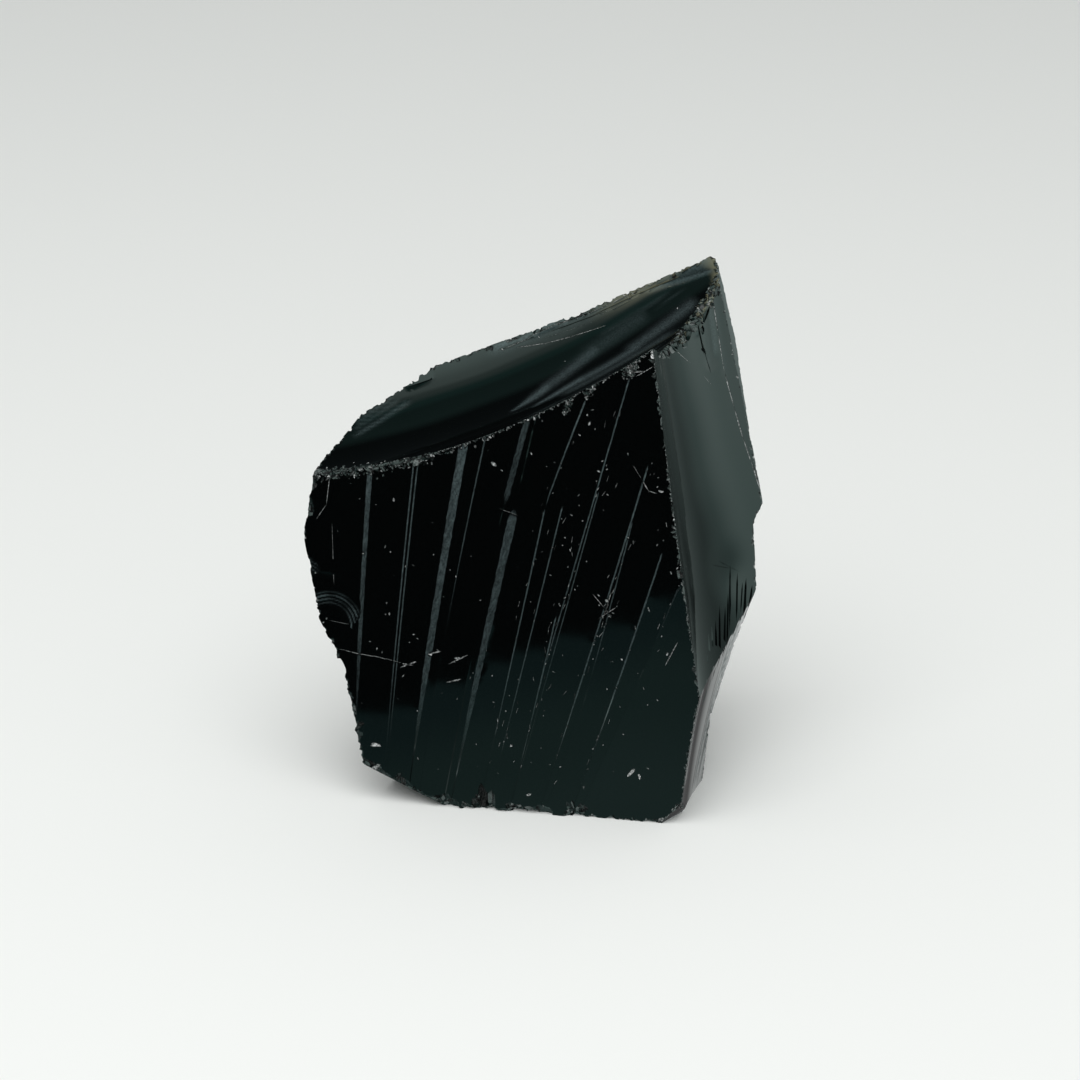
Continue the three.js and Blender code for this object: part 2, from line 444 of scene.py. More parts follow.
def front_row(distance, dice):
    """One row of the front's mesh: for each column its ray (degrees), strip, mist and jolt (mm)."""
    columns = [(ray, 0, 0, 0) for ray in RAYS_LEFT]
    last = None
    for number, (ray, half, guard, shown) in enumerate(ramp_places(distance)):
        if last is not None:
            gap = ray - guard - last
            for k in range(FLAT_COLUMNS):
                columns.append((last + gap * (k + 1) / (FLAT_COLUMNS + 1), number, 0, 0))
        rough = dice.uniform(0.75, 1.2)
        mists = [shown * dice.uniform(0.35, 1) for _ in RAMP_COLUMNS]
        wide = math.radians(half) * distance
        jolts = [shown * dice.uniform(-0.10, 0.10) * wide for _ in RAMP_COLUMNS]
        columns.append((ray - guard, number, 0, 0))
        for place, mist, jolt in zip(RAMP_COLUMNS, mists, jolts):
            columns.append((ray + half * rough * place, number + (place + 1) / 2, mist, jolt))
        last = ray + guard
        columns.append((last, number + 1, 0, 0))
    return columns + [(ray, len(HACKLES), 0, 0) for ray in RAYS_RIGHT]


def front_spall(plane):
    """The spall off the front: strips at slightly different leans, joined by hackle ramps."""
    distances = np.concatenate([np.arange(*stretch) for stretch in FRONT_ROWS])
    dice = random.Random(5)
    table = np.array([front_row(distance, dice) for distance in distances])
    rays, strips, mists, jolts = table.transpose(2, 1, 0)
    angles = np.maximum.accumulate(np.radians(rays), axis=0)
    across = CRACK_START[0] + distances * np.sin(angles)
    along = CRACK_START[1] + distances * np.cos(angles)
    lean = np.interp(strips, np.arange(len(STRIP_LEANS)), STRIP_LEANS)
    height = dish(plane, across, along) - np.tan(np.radians(lean)) * (along - STRIPS_MEET) + jolts
    height += waviness(across, along, 14, 0.006, 3)
    return slab("front spall", plane, across, along, height, mists)


def break_stone(settings, extents=None):
    """The stone with every break, as coarse as the node is or, given each break's extent, in full."""
    half = BLOCK_SIZE / 2
    corners = [HEART + half * np.array([x, y, z]) for x in (-1, 1) for y in (-1, 1) for z in (-1, 1)]
    faces = [(0, 1, 3, 2), (4, 6, 7, 5), (0, 4, 5, 1), (2, 3, 7, 6), (0, 2, 6, 4), (1, 5, 7, 3)]
    stone = bench_object("obsidian_stone", corners, faces)
    for number, (name, plane) in enumerate(BREAKS.items()):
        if extents and name == "front":
            cutter = front_spall(plane)
        elif extents:
            step = FINE_STEPS.get(name, settings.grid_step)
            cutter = plain_spall(name, plane, extents[name], step, number)
            if "crease" in plane:
                other = plain_spall(name + " crease", plane["crease"], extents[name], step, number + 100)
                boolean(cutter, other, "INTERSECT")
        else:
            cutter = rough_spall(name, plane)
            if "crease" in plane:
                boolean(cutter, rough_spall(name, plane["crease"]), "INTERSECT")
        boolean(stone, cutter, "DIFFERENCE")
    return stone


def rough_spall(name, plane):
    """A spall with no marks on it, for roughing out."""
    line = grid_line(-SPALL_HALF_WIDTH, SPALL_HALF_WIDTH, ROUGH_STEP)
    across, along = np.meshgrid(line, line, indexing="ij")
    return slab(name, plane, across, along, dish(plane, across, along), np.zeros(across.shape))


# To tell which break a face lies on, a right angle of tilt counts like this distance (mm).
TILT_WEIGHT = 4.0
# Each break's grid goes this far beyond its faces (mm), and a break too slight to be roughed out gets
# this small grid.
GRID_MARGIN = 2.5
SMALL_EXTENT = ((-5, 5), (-5, 5))


def mesh_arrays(mesh):
    """Corners, and centres and outward directions of faces, as arrays."""
    corners = np.empty(len(mesh.vertices) * 3)
    centres = np.empty(len(mesh.polygons) * 3)
    normals = np.empty(len(mesh.polygons) * 3)
    mesh.vertices.foreach_get("co", corners)
    mesh.polygons.foreach_get("center", centres)
    mesh.polygons.foreach_get("normal", normals)
    return corners.reshape(-1, 3), centres.reshape(-1, 3), normals.reshape(-1, 3)


def owners(centres, normals):
    """The break that each face lies on, as a number in BREAKS' order."""
    strays = []
    for plane in BREAKS.values():
        planes = [plane, plane["crease"]] if "crease" in plane else [plane]
        stray = [
            np.abs(outside_by(part, centres)) + TILT_WEIGHT * (1 - normals @ axes_of(part)[2])
            for part in planes
        ]
        strays.append(np.min(stray, axis=0))
    return np.argmin(np.array(strays), axis=0)


def break_extents(stone):
    """How far each break reaches across and along its own plane, with a margin (mm)."""
    corners, centres, normals = mesh_arrays(stone.data)
    owner = owners(centres, normals)
    extents = {}
    for number, (name, plane) in enumerate(BREAKS.items()):
        faces = [p for p in stone.data.polygons if owner[p.index] == number]
        points = corners[sorted({v for p in faces for v in p.vertices})] - HEART
        if len(points) == 0:
            extents[name] = SMALL_EXTENT
            continue
        reaches = [points @ way for way in axes_of(plane)[:2]]
        extents[name] = [(float(r.min()) - GRID_MARGIN, float(r.max()) + GRID_MARGIN) for r in reaches]
    return extents


# ---- Flakes and slivers -------------------------------------------------------------------------

def ball_shape(detail):
    """Corners and faces of a ball, 1 mm in radius."""
    ball = bmesh.new()
    bmesh.ops.create_icosphere(ball, subdivisions=detail, radius=1.0)
    corners = np.array([v.co for v in ball.verts])
    faces = np.array([[v.index for v in f.verts] for f in ball.faces])
    ball.free()
    return corners, faces


# Balls that flakes are cut with, each for radii below its limit (mm): larger ones need more facets.
BALLS = [(0.24, ball_shape(1)), (0.8, ball_shape(2)), (3, ball_shape(3)), (100, ball_shape(5))]
# How long a flake is against its width: along the edges, and on the faces.
LONG = (0.6, 2.0)
ROUNDISH = (0.8, 2.2)
# How much a flake's bumps add to its radius, and how far it reaches with them.
FLAKE_BUMPS = 0.16
FLAKE_REACH = 1.16


def turn_frame(direction, roll=0.0):
    """Three unit directions, the last along `direction`."""
    last = np.asarray(direction, float)
    last = last / np.linalg.norm(last)
    helper = np.array([0.0, 0.0, 1.0]) if abs(last[2]) < 0.9 else np.array([1.0, 0.0, 0.0])
    first = np.cross(helper, last)
    first /= np.linalg.norm(first)
    second = np.cross(last, first)
    c, s = math.cos(roll), math.sin(roll)
    return np.array([first * c + second * s, second * c - first * s, last])


class Nick:
    """One small piece knocked off: a closed cutter, where it is, how far it reaches, how crushed."""

    def __init__(self, shape, spine, reach, crush):
        self.corners, self.faces = shape
        self.spine = spine
        self.reach = reach
        self.crush = crush


def flake(point, outward, radius, bite, dice, crush, stretch=LONG):
    """A shell-shaped flake that bites `bite` mm under a point of the stone."""
    shape, faces = next(ball for limit, ball in BALLS if radius < limit)
    sizes = np.array([dice.uniform(*stretch), dice.uniform(0.5, 1.0), 1.0])
    frame_of = turn_frame(outward, dice.uniform(0, 2 * math.pi))
    facets = np.array([dice.uniform(-6, 6) for _ in range(3)])
    bumps = 1 + FLAKE_BUMPS * np.sin(shape @ facets + dice.uniform(0, 6))
    corners = (shape * bumps[:, None] * radius * sizes) @ frame_of
    middle = point + np.asarray(outward) * (radius - bite)
    return Nick((corners + middle, faces), np.array([middle]), radius * sizes.max() * FLAKE_REACH, crush)


def sliver(start, end, outward, width, depth, crush):
    """A thin splinter lifted out along a line: a V-shaped groove that runs out at both ends."""
    start, end, outward = np.asarray(start), np.asarray(end), np.asarray(outward)
    run = end - start
    side = np.cross(outward, run)
    side *= width / np.linalg.norm(side)
    lift = outward * width
    middle = (start + end) / 2
    corners = [start - outward * 0.01, end - outward * 0.01, start + lift, end + lift]
    for share in (-0.3, 0.3):
        corners += [middle + run * share + side + lift, middle + run * share - side + lift]
        corners.append(middle + run * share * 0.8 - outward * depth)
    ball = bmesh.new()
    for corner in corners:
        ball.verts.new(corner)
    bmesh.ops.convex_hull(ball, input=ball.verts)
    bmesh.ops.triangulate(ball, faces=ball.faces[:])
    ball.verts.index_update()
    hull = np.array([v.co for v in ball.verts])
    faces = np.array([[v.index for v in f.verts] for f in ball.faces])
    ball.free()
    spine = start + np.linspace(0, 1, 9)[:, None] * run
    return Nick((hull, faces), spine, max(width, depth, np.linalg.norm(run) / 16) * 1.5, crush)


def sort_into_trays(nicks):
    """Trays of nicks that stay clear of each other, so that one cut can take a whole tray."""
    trays = []
    for nick in nicks:
        for tray in trays:
            gaps = np.linalg.norm(tray["points"][:, None] - nick.spine[None], axis=2)
            if (gaps - tray["reaches"][:, None]).min() > nick.reach:
                break
        else:
            tray = dict(nicks=[], points=np.empty((0, 3)), reaches=np.empty(0))
            trays.append(tray)
        tray["nicks"].append(nick)
        tray["points"] = np.concatenate([tray["points"], nick.spine])
        tray["reaches"] = np.concatenate([tray["reaches"], np.full(len(nick.spine), nick.reach)])
    return [tray["nicks"] for tray in trays]


def knock_off(stone, nicks):
    """Takes all nicks off the stone, a tray at a time."""
    for number, tray in enumerate(sort_into_trays(nicks)):
        starts = np.cumsum([0] + [len(nick.corners) for nick in tray[:-1]])
        faces = np.concatenate([nick.faces + start for nick, start in zip(tray, starts)])
        corners = np.concatenate([nick.corners for nick in tray])
        crush = np.concatenate([np.full(len(nick.corners), nick.crush) for nick in tray])
        cutter = bench_object(f"tray {number}", corners, faces.tolist(), crush=crush)
        boolean(stone, cutter, "DIFFERENCE")


def wear(edges, per_mm, radius, bite, wander, crushed, white=0.2, where=(-100, 100), high=(-100, 100)):
    """One stretch of wear: on the edges between two breaks each, nicks per mm, their radius and bite
    (mm), how far to the side they wander (mm), the share of them that is crushed, the share of those
    that is white, where the stretch runs from left to right, and how high (mm)."""
    pairs = [frozenset(edge.split("/")) for edge in edges.split(", ")]
    return dict(
        pairs=pairs, per_mm=per_mm, radius=radius, bite=bite, wander=wander,
        crushed=crushed, white=white, where=where, high=high,
    )


EDGE_WEAR = [
    wear("front/top", 30, (0.1, 0.34), (0.04, 0.15), 0.65, 0.5, white=0.16, where=(-40, -13)),
    wear("front/top", 2.5, (0.5, 1.1), (0.12, 0.35), 0.35, 0.25, where=(-40, -13)),
    wear("front/top", 14, (0.1, 0.36), (0.04, 0.16), 0.35, 0.6, white=0.16, where=(-13, -4)),
    wear("front/top", 9, (0.1, 0.34), (0.04, 0.14), 0.22, 0.6, white=0.22, where=(-4, 13)),
    wear("front/top", 1.0, (0.3, 0.6), (0.06, 0.15), 0.2, 0.2, where=(-13, 13)),
    wear("front/top", 24, (0.12, 0.5), (0.05, 0.26), 0.7, 0.6, white=0.45, where=(13, 20)),
    wear("front/top", 4, (0.4, 1.0), (0.15, 0.45), 0.5, 0.3, white=0.5, where=(14, 20)),
    wear("front/right", 10, (0.1, 0.32), (0.04, 0.13), 0.16, 0.5, white=0.3, high=(28, 44)),
    wear("front/right", 4, (0.1, 0.28), (0.03, 0.1), 0.1, 0.5, white=0.3, high=(44, 70)),
    wear("front/right", 7, (0.1, 0.32), (0.04, 0.13), 0.14, 0.5, white=0.25, high=(0, 28)),
    wear("front/right", 0.5, (0.5, 1.0), (0.12, 0.3), 0.1, 0.2),
    wear("front/under right", 5, (0.12, 0.4), (0.04, 0.14), 0.14, 0.35),
    wear("right/under right", 1.0, (0.2, 0.5), (0.04, 0.12), 0.1, 0.1),
    wear("front/low scar, front/high scar", 4, (0.15, 0.5), (0.05, 0.2), 0.25, 0.4),
    wear("top/right", 5, (0.4, 1.1), (0.2, 0.55), 0.6, 0.4, white=0.5, where=(14, 19)),
    wear("top/right", 20, (0.15, 0.55), (0.06, 0.3), 0.7, 0.3, where=(14, 40)),
    wear("top/right", 2.6, (0.7, 1.5), (0.25, 0.6), 0.4, 0.1, where=(14, 40)),
    wear("top/ridge", 6.0, (0.25, 0.7), (0.08, 0.3), 0.3, 0.35),
    wear("right/ridge", 2.0, (0.15, 0.4), (0.04, 0.1), 0.1, 0.5),
    wear("ridge/peak side, ridge/far side", 3.0, (0.25, 0.7), (0.08, 0.28), 0.15, 0.15),
    wear("right/spur", 2.0, (0.25, 0.7), (0.06, 0.2), 0.15, 0.1),
    wear("top/left, top/left back", 1.6, (0.3, 1.0), (0.08, 0.3), 0.2, 0.1),
    wear("top/back", 2.4, (0.3, 1.1), (0.08, 0.35), 0.4, 0.2),
    wear("top/tip", 2.4, (0.3, 0.9), (0.08, 0.25), 0.3, 0.3),
    wear("front/left shoulder", 3, (0.3, 1.1), (0.1, 0.4), 0.3, 0.2),
    wear("front/left hip", 3, (0.3, 1.2), (0.1, 0.4), 0.3, 0.15),
    wear("front/left foot", 3, (0.3, 1.2), (0.1, 0.45), 0.3, 0.12),
    wear("front/left toe", 3, (0.3, 1.2), (0.1, 0.45), 0.3, 0.15),
    wear("front/foot", 2.2, (0.6, 2.2), (0.15, 0.7), 0.3, 0.0, where=(-20, 1)),
    wear("front/foot", 2.2, (0.3, 1.1), (0.08, 0.3), 0.2, 0.1, where=(1, 20)),
    wear("front/right toe", 2.2, (0.3, 1.0), (0.08, 0.3), 0.2, 0.1),
]
OTHER_EDGE_WEAR = wear("", 1.4, (0.25, 0.9), (0.06, 0.25), 0.15, 0.2)
# Breaks that meet flatter than this have no edge to wear (cosine between them).
FLAT_MEETING = 0.94


def edge_pieces(stone):
    """Edges where two breaks meet: for each pair of breaks, ends and outward direction of each."""
    mesh = stone.data
    corners, centres, normals = mesh_arrays(mesh)
    names = list(BREAKS)
    owner = owners(centres, normals)
    edge_faces = {}
    for polygon in mesh.polygons:
        for key in polygon.edge_keys:
            edge_faces.setdefault(key, []).append(polygon.index)
    places = {}
    for (first, second), faces in edge_faces.items():
        if len(faces) != 2 or owner[faces[0]] == owner[faces[1]]:
            continue
        n0, n1 = normals[faces[0]], normals[faces[1]]
        if n0 @ n1 > FLAT_MEETING:
            continue
        pair = frozenset((names[owner[faces[0]]], names[owner[faces[1]]]))
        outward = (n0 + n1) / np.linalg.norm(n0 + n1)
        places.setdefault(pair, []).append((corners[first], corners[second], outward))
    return places


def wear_zone(pieces, zone, amount, skin, dice):
    """Nicks scattered along the edge pieces of one zone; `skin` finds the stone's surface."""
    left, right = zone["where"]
    low, high = zone["high"]
    pieces = [piece for piece in pieces if left < piece[0][0] <= right and low < piece[0][2] <= high]
    lengths = [float(np.linalg.norm(end - start)) for start, end, _ in pieces]
    nicks = []
    for _ in range(int(sum(lengths) * zone["per_mm"] * amount)):
        start, end, outward = dice.choices(pieces, lengths)[0]
        share = dice.random()
        side = np.cross(outward, end - start)
        side /= max(np.linalg.norm(side), 1e-9)
        point = start * share + end * (1 - share) + side * dice.gauss(0, zone["wander"])
        nearest = skin.find_nearest(Vector(point))
        tilt = outward + 1.2 * np.array(nearest[1])
        tilt /= np.linalg.norm(tilt)
        radius = dice.uniform(*zone["radius"])
        bite = dice.uniform(*zone["bite"])
        crush = how_crushed(radius, zone["crushed"], zone["white"], dice)
        nicks.append(flake(np.array(nearest[0]), tilt, radius, bite, dice, crush))
    return nicks


def how_crushed(radius, crushed, white, dice):
    """How crushed one nick is: most are clear, some are grey, a few small ones are white."""
    if dice.random() > crushed:
        return dice.uniform(0, 0.06)
    if radius > 0.55:
        return dice.uniform(0.03, 0.14)
    return dice.uniform(0.6, 1) if dice.random() < white else dice.uniform(0.1, 0.4)


def edge_nicks(places, amount, skin, dice):
    """Nicks along every edge, thicker where EDGE_WEAR says so."""
    nicks = []
    for pair in sorted(places, key=sorted):
        zones = [zone for zone in EDGE_WEAR if pair in zone["pairs"]]
        if not zones and not pair & {"foot", "front"}:
            zones = [OTHER_EDGE_WEAR]
        for zone in zones:
            nicks += wear_zone(places[pair], zone, amount, skin, dice)
    return nicks


# Flecks on the faces, where grit has bruised the glass: across, along and size in mm, and a 0 after them
# where the fleck is clear.
FLECKS = {
    "front": [
        (-17.7, -24.6, 0.62), (-12.4, -25.9, 0.3), (1.3, -29.4, 0.55), (13.7, -25.6, 0.55),
        (14.7, -26.0, 0.3), (15.7, -24.9, 0.28), (-1.0, -23.4, 0.3), (8.4, -25.6, 0.22),
        (10.2, -22.4, 0.25), (16.6, -16.3, 0.25), (14.9, -15.0, 0.28), (12.6, -20.9, 0.2),
        (5.0, -11.7, 0.2), (3.0, -10.2, 0.2), (0.9, -5.5, 0.2), (9.2, -5.3, 0.3), (10.1, -4.7, 0.35),
        (10.9, -6.1, 0.3), (9.7, -6.7, 0.3), (9.1, -4.1, 0.25), (10.5, -6.5, 0.25), (6.2, -3.6, 0.22),
        (5.0, -4.7, 0.2), (7.5, -0.1, 0.2), (-4.3, 10.7, 0.4), (-3.3, 10.0, 0.22), (0.3, 16.5, 0.4),
        (1.4, 16.2, 0.35), (6.2, 7.7, 0.3), (7.1, 16.3, 0.3), (7.8, 15.7, 0.22), (6.8, 17.3, 0.28),
        (8.5, 10.7, 0.3), (8.3, 9.5, 0.25), (8.9, 12.0, 0.22), (6.3, 6.5, 0.28), (5.4, 5.3, 0.22),
        (6.8, 4.7, 0.2), (9.5, 11.1, 0.2), (4.5, 1.6, 0.2), (3.2, -2.1, 0.2), (15.2, -5.3, 0.3),
        (17.6, -10.6, 0.35), (15.9, 2.5, 0.28), (16.6, 3.1, 0.22), (17.7, -0.7, 0.28), (-16.4, 5.5, 0.3),
        (-17.2, -0.2, 0.3), (-14.6, -2.4, 0.28), (-11.2, -0.7, 0.28), (-9.1, -2.4, 0.25),
        (-9.8, -5.7, 0.22), (-19.4, -25.5, 0.2), (-16.9, -8.4, 0.18), (-17.8, -12.7, 0.2),
        (-13.8, -11.6, 0.2), (-13.3, -10.6, 0.25), (-12.8, -11.1, 0.28), (-11.3, -12.9, 0.35),
        (-10.3, -12.3, 0.22), (-7.8, -13.1, 0.38), (-8.3, -13.6, 0.28), (-8.9, -16.1, 0.22),
        (-7.7, -15.8, 0.3), (-6.2, -15.4, 0.2), (-25.8, -4.0, 0.3), (-24.6, -10.0, 0.3),
        (-24.2, -9.5, 0.25), (15.6, 9.4, 0.4), (16.1, 8.9, 0.35),
    ],
    "right": [
        (14.2, 24.8, 1.5, 0), (15.2, 22.6, 1.2, 0), (12.9, 23.6, 1.3, 0), (14.9, 20.2, 0.9, 0),
        (11.4, 21.6, 0.9, 0), (16.2, 24.4, 1.0, 0),
    ],
    "top": [
        (-16.4, 5.7, 0.3), (-15.9, 10.4, 0.2), (-9.8, 27.0, 0.25), (-11.4, 12.0, 0.2),
    ],
}
# Splinters lifted out in thin lines: where each starts and ends (across and along), its width, its depth
# and how crushed it is.
SLIVERS = {
    "front": [
        (-23.2, -13.1, -21.6, -13.2, 0.1, 0.05, 0.6), (-21.9, -13.2, -19.6, -13.6, 0.12, 0.06, 0.9),
        (-19.8, -13.5, -18.1, -13.7, 0.1, 0.06, 0.9), (-18.3, -13.6, -16.6, -13.9, 0.12, 0.06, 0.8),
        (-16.8, -13.8, -14.8, -14.2, 0.09, 0.05, 0.6), (-14.9, -14.8, -12.9, -13.9, 0.34, 0.14, 1.0),
        (-14.6, -14.3, -13.3, -14.4, 0.28, 0.12, 1.0), (-11.2, -12.8, -9.9, -12.4, 0.28, 0.12, 0.9),
        (-9.1, -16.2, -7.3, -15.6, 0.26, 0.12, 0.9), (-8.9, -13.9, -6.6, -12.6, 0.34, 0.12, 1.0),
        (-24.0, -9.7, -21.4, -10.0, 0.08, 0.04, 0.5), (12.6, 11.7, 14.7, 8.7, 0.15, 0.08, 1.0),
        (14.5, 8.9, 15.6, 8.6, 0.12, 0.06, 0.8), (10.6, -3.6, 9.7, -6.9, 0.14, 0.08, 0.9),
        (8.4, -4.0, 10.8, -6.6, 0.12, 0.08, 0.9), (9.2, -6.9, 11.2, -5.4, 0.14, 0.08, 0.9),
        (-24.4, 7.9, -24.7, 4.3, 0.14, 0.08, 0.7), (-24.6, 4.5, -25.9, 2.5, 0.14, 0.08, 0.6),
        (-23.9, 2.2, -23.4, -5.4, 0.06, 0.04, 0.35), (-3.4, 5.4, -1.1, 4.8, 0.1, 0.06, 0.5),
        (11.0, 22.6, 13.6, 22.9, 0.14, 0.08, 1.0), (13.0, 22.8, 14.8, 23.4, 0.16, 0.1, 1.0),
        (13.8, 24.2, 15.2, 23.8, 0.16, 0.1, 1.0), (12.4, 22.2, 14.4, 23.5, 0.14, 0.1, 0.9),
        (14.2, 22.6, 15.4, 23.6, 0.14, 0.1, 1.0), (17.4, -12.0, 18.8, -9.0, 0.3, 0.1, 0.6),
    ],
    "right": [
        (14.3, 17.1, 15.4, 15.9, 0.09, 0.05, 0.9), (9.0, 21.4, 12.0, 19.2, 0.2, 0.14, 0.8),
        (17.6, 26.0, 17.7, 21.6, 0.34, 0.1, 0.9), (17.7, 22.0, 17.85, 16.4, 0.34, 0.1, 0.9),
        (17.85, 16.8, 18.6, 12.0, 0.34, 0.1, 1.0), (18.55, 12.4, 19.3, 8.0, 0.34, 0.1, 1.0),
        (19.25, 8.4, 20.0, 5.0, 0.34, 0.1, 1.0), (19.95, 5.4, 20.9, 1.6, 0.34, 0.1, 0.9),
        (13.6, 25.4, 14.2, 21.4, 0.16, 0.1, 0.7), (15.2, 25.6, 15.5, 22.0, 0.3, 0.22, 0.0),
        (14.4, 24.0, 14.9, 19.6, 0.34, 0.26, 0.0), (16.2, 26.0, 16.6, 20.6, 0.14, 0.08, 0.5),
        (14.9, 21.0, 15.6, 17.2, 0.24, 0.14, 0.0), (12.2, -5.3, 15.9, -7.6, 0.18, 0.12, 0.0),
        (10.6, -5.4, 14.4, -6.8, 0.2, 0.12, 0.0), (14.4, -6.4, 12.9, -12.6, 0.36, 0.32, 0.0),
        (13.9, -8.0, 12.4, -14.2, 0.27, 0.24, 0.0), (15.5, -7.6, 14.0, -13.4, 0.33, 0.32, 0.0),
        (16.1, -9.0, 15.0, -12.6, 0.24, 0.24, 0.0), (16.8, -8.6, 15.6, -13.2, 0.3, 0.28, 0.0),
        (17.6, -9.7, 16.7, -12.4, 0.24, 0.2, 0.0), (13.2, -9.6, 11.4, -16.0, 0.3, 0.28, 0.0),
        (12.2, -11.0, 10.4, -17.2, 0.27, 0.24, 0.0), (11.0, -10.6, 9.0, -18.0, 0.3, 0.28, 0.0),
        (9.6, -12.0, 7.8, -19.2, 0.3, 0.28, 0.0), (8.4, -12.4, 6.6, -20.0, 0.27, 0.24, 0.0),
        (7.2, -13.0, 5.2, -21.4, 0.3, 0.28, 0.0), (6.0, -15.0, 4.4, -22.0, 0.24, 0.2, 0.0),
    ],
    "top": [
        (-15.9, 7.4, -14.8, 11.1, 0.14, 0.08, 0.9), (-14.9, 10.8, -14.1, 14.3, 0.16, 0.08, 0.9),
        (-14.2, 14.0, -13.3, 18.4, 0.14, 0.08, 0.8), (-16.4, 5.2, -16.3, 9.8, 0.12, 0.06, 0.5),
        (-16.5, 9.2, -16.4, 13.2, 0.16, 0.1, 0.8), (-16.5, 12.6, -15.8, 16.4, 0.16, 0.1, 0.9),
        (-15.9, 15.8, -15.4, 20.8, 0.16, 0.1, 0.9), (-15.5, 20.2, -15.1, 25.2, 0.14, 0.08, 0.7),
        (-15.2, 22.0, -12.6, 29.2, 0.16, 0.1, 0.7), (-12.8, 28.6, -11.5, 33.6, 0.16, 0.1, 0.7),
        (-16.9, 14.6, -16.5, 19.4, 0.16, 0.1, 0.0), (-17.2, 9.0, -17.0, 14.6, 0.14, 0.1, 0.0),
        (-11.9, -14.9, -14.7, -7.0, 0.1, 0.05, 0.5), (-15.9, 12.0, -15.0, 19.0, 0.16, 0.12, 0.0),
        (-15.5, 11.0, -14.5, 17.5, 0.1, 0.06, 0.4), (-15.3, 17.5, -14.8, 24.0, 0.18, 0.12, 0.0),
        (-14.9, 18.5, -14.3, 25.0, 0.1, 0.06, 0.5), (-15.0, 22.5, -13.8, 29.0, 0.18, 0.12, 0.0),
        (-16.6, -7.2, -16.3, -3.2, 0.26, 0.25, 0.0),
    ],
}
# A place on a break is looked for from this far above it, and given up if the stone lies farther off (mm).
LOOK_FROM = 12
OFF_BREAK = 1.6
# Grit marks along the hackles at the right of the front, from this hackle on, and all over the front.
FIRST_GRITTY_HACKLE = 7
GRIT_ON_HACKLES = 170
GRIT_ELSEWHERE = 60
# No grit marks below this on the front (mm along it).
GRIT_BOTTOM = -30


def surface_point(skin, name, across, along):
    """Point of the stone's surface from mm across and along a break's plane, and the way out there."""
    plane = BREAKS[name]
    a, b, n = axes_of(plane)
    above = HEART + a * across + b * along + n * (plane["reach"] + LOOK_FROM)
    point, outward, _, _ = skin.ray_cast(Vector(above), Vector(-n))
    if point is None or abs(outside_by(plane, np.array(point))) > OFF_BREAK:
        return None
    return np.array(point), np.array(outward)


def face_nicks(skin, dice):
    """Flecks and splinters on the faces; `skin` finds the stone's surface."""
    nicks = []
    for name, flecks in FLECKS.items():
        for across, along, size, *clear in flecks:
            place = surface_point(skin, name, across, along)
            if place:
                radius = size * dice.uniform(0.55, 0.85)
                crush = 0.0 if clear else dice.uniform(0.5, 1)
                nicks.append(flake(*place, radius, radius * 0.4, dice, crush, ROUNDISH))
    for name, slivers in SLIVERS.items():
        for a0, b0, a1, b1, width, depth, crush in slivers:
            first, last = surface_point(skin, name, a0, b0), surface_point(skin, name, a1, b1)
            if first and last:
                nicks.append(sliver(first[0], last[0], first[1], width, depth, crush))
    return nicks + grit(skin, dice)


def bruise(place, size, dice):
    """One tiny powdered bruise."""
    radius = dice.uniform(*size)
    crush = dice.uniform(0.4, 1) ** 2
    return flake(*place, radius, radius * 0.5, dice, crush, ROUNDISH)


def grit(skin, dice):
    """Tiny bruises and scratches, mostly along the hackles at the right of the front."""
    nicks = []
    for _ in range(GRIT_ON_HACKLES):
        number = dice.choice(range(FIRST_GRITTY_HACKLE, len(HACKLES)))
        low, high = HACKLES[number]["run"]
        distance = dice.uniform(low, high + 3)
        ray = math.radians(ramp_places(distance)[number][0] + dice.gauss(0, 0.35))
        across = CRACK_START[0] + distance * math.sin(ray)
        along = CRACK_START[1] + distance * math.cos(ray)
        place = surface_point(skin, "front", across, along)
        if place is None or along <= GRIT_BOTTOM:
            continue
        length = dice.uniform(0.2, 0.9)
        drift = ray + dice.gauss(0, 0.25)
        across, along = across + length * math.sin(drift), along + length * math.cos(drift)
        other = surface_point(skin, "front", across, along)
        if other and dice.random() < 0.6:
            width = dice.uniform(0.05, 0.11)
            crush = dice.uniform(0.3, 1) ** 2
            nicks.append(sliver(place[0], other[0], place[1], width, width * 0.6, crush))
        elif other:
            nicks.append(bruise(place, (0.06, 0.14), dice))
    for _ in range(GRIT_ELSEWHERE):
        place = surface_point(skin, "front", dice.uniform(-24, 16), dice.uniform(-28, 14))
        if place:
            nicks.append(bruise(place, (0.06, 0.12), dice))
    return nicks


def skin_of(stone):
    """Something that finds the nearest place on the stone's surface, or where a line meets it."""
    corners = mesh_arrays(stone.data)[0]
    return BVHTree.FromPolygons(corners.tolist(), [tuple(p.vertices) for p in stone.data.polygons])


# ---- Materials ----------------------------------------------------------------------------------

def linear(hex_colour):
    """An sRGB hex colour as linear RGBA."""
    parts = [int(hex_colour[i:i + 2], 16) / 255 for i in (1, 3, 5)]
    return tuple(p / 12.92 if p <= 0.04045 else ((p + 0.055) / 1.055) ** 2.4 for p in parts) + (1.0,)


def add_node(tree, kind, settings=None, inputs=None):
    """Adds a node: settings are its own properties, inputs are values or the sockets they come from."""
    node = tree.nodes.new(kind)
    for name, value in (settings or {}).items():
        setattr(node, name, value)
    for name, value in (inputs or {}).items():
        socket = node.inputs[name]
        if isinstance(value, bpy.types.NodeSocket):
            tree.links.new(value, socket)
        else:
            socket.default_value = value
    return node


def new_material(name):
    """A material with an empty node tree."""
    material = bpy.data.materials.new(name)
    material.use_nodes = True
    material.node_tree.nodes.clear()
    return material


